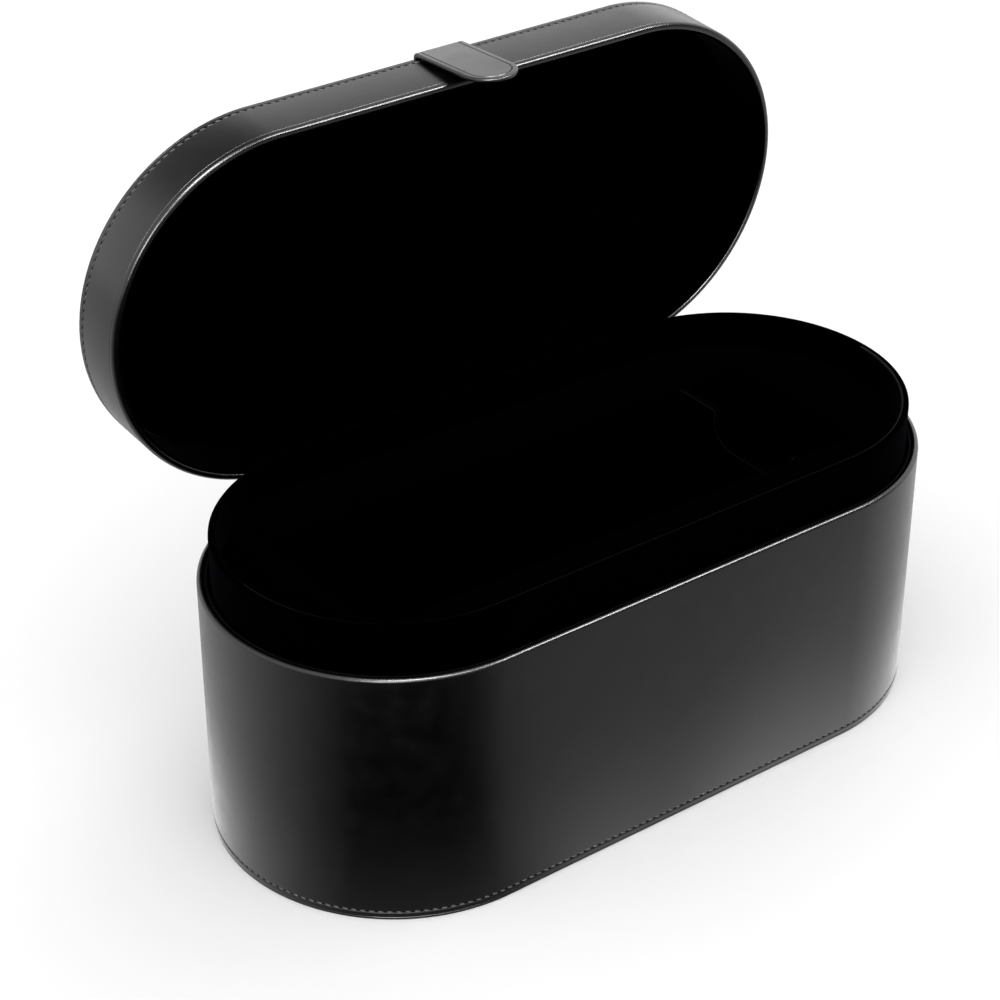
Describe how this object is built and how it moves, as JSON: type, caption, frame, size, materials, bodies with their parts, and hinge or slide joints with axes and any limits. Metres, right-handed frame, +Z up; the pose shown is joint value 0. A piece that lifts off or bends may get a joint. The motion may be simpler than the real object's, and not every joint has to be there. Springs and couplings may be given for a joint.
{
  "type": "hinged storage case",
  "caption": "Oblong leather-covered storage case with a hinged lid, a velvet collar, a fitted insert with wells and a magnetic clasp tab, standing open.",
  "frame": {"origin": "middle of the face the case stands on", "axes": "+Z up, +X along the case's length, -Y towards the side with the clasp; the lid hinges along the +Y side and is stored standing open"},
  "size_m": [0.38, 0.2075, 0.3222],
  "materials": {
    "case_leather": "smooth satin black leather with a very fine pebble grain",
    "edge_leather": "turned and polished black leather edge, slightly glossier than the panels",
    "velvet": "short-pile black velvet with a faint cool nap sheen",
    "board": "dense grey-black bookbinder's board",
    "steel": "plain zinc-plated steel disc",
    "magnet": "nickel-plated magnet disc",
    "thread": "twisted black sewing thread, waxed"
  },
  "bodies": {
    "case_body": {"base_panel": "case_leather", "base_board": "board", "body_skin": "case_leather", "body_wall_board": "board", "strike_plate": "steel", "rim_binding": "edge_leather", "ledge_strip": "velvet", "collar_board": "board", "collar_velvet": "velvet", "floor_pad": "velvet", "insert_deck": "velvet", "deck_velvet": "velvet", "well_wall_front": "velvet", "well_wall_back": "velvet", "well_wall_left": "velvet", "well_wall_right": "velvet", "well_partition": "velvet", "hinge_strip": "case_leather", "hinge_lining": "velvet"},
    "lid": {"lid_skin": "case_leather", "lid_top_panel": "case_leather", "lid_top_board": "board", "lid_wall_board": "board", "lid_mouth_binding": "edge_leather", "lid_skirt_lining": "velvet", "lid_top_lining": "velvet", "clasp_root": "case_leather"},
    "clasp_tab": {"clasp_bend": "case_leather", "clasp_inner_leather": "case_leather", "clasp_core": "board", "clasp_outer_leather": "case_leather", "clasp_magnet": "magnet"}
  },
  "joints": [
    {"name": "lid_hinge", "type": "hinge", "parent": "case_body", "child": "lid", "pos_m": [0, 0.0923, 0.135], "axis": [1, 0, 0], "range_deg": [0, 86.4], "deforming": ["hinge_strip", "hinge_lining"]},
    {"name": "clasp_flex", "type": "hinge", "parent": "lid", "child": "clasp_tab", "pos_m": [0.0037, 0.10823, 0.31706], "axis": [1, 0, 0], "range_deg": [-60, 6], "deforming": ["clasp_bend"]}
  ]
}
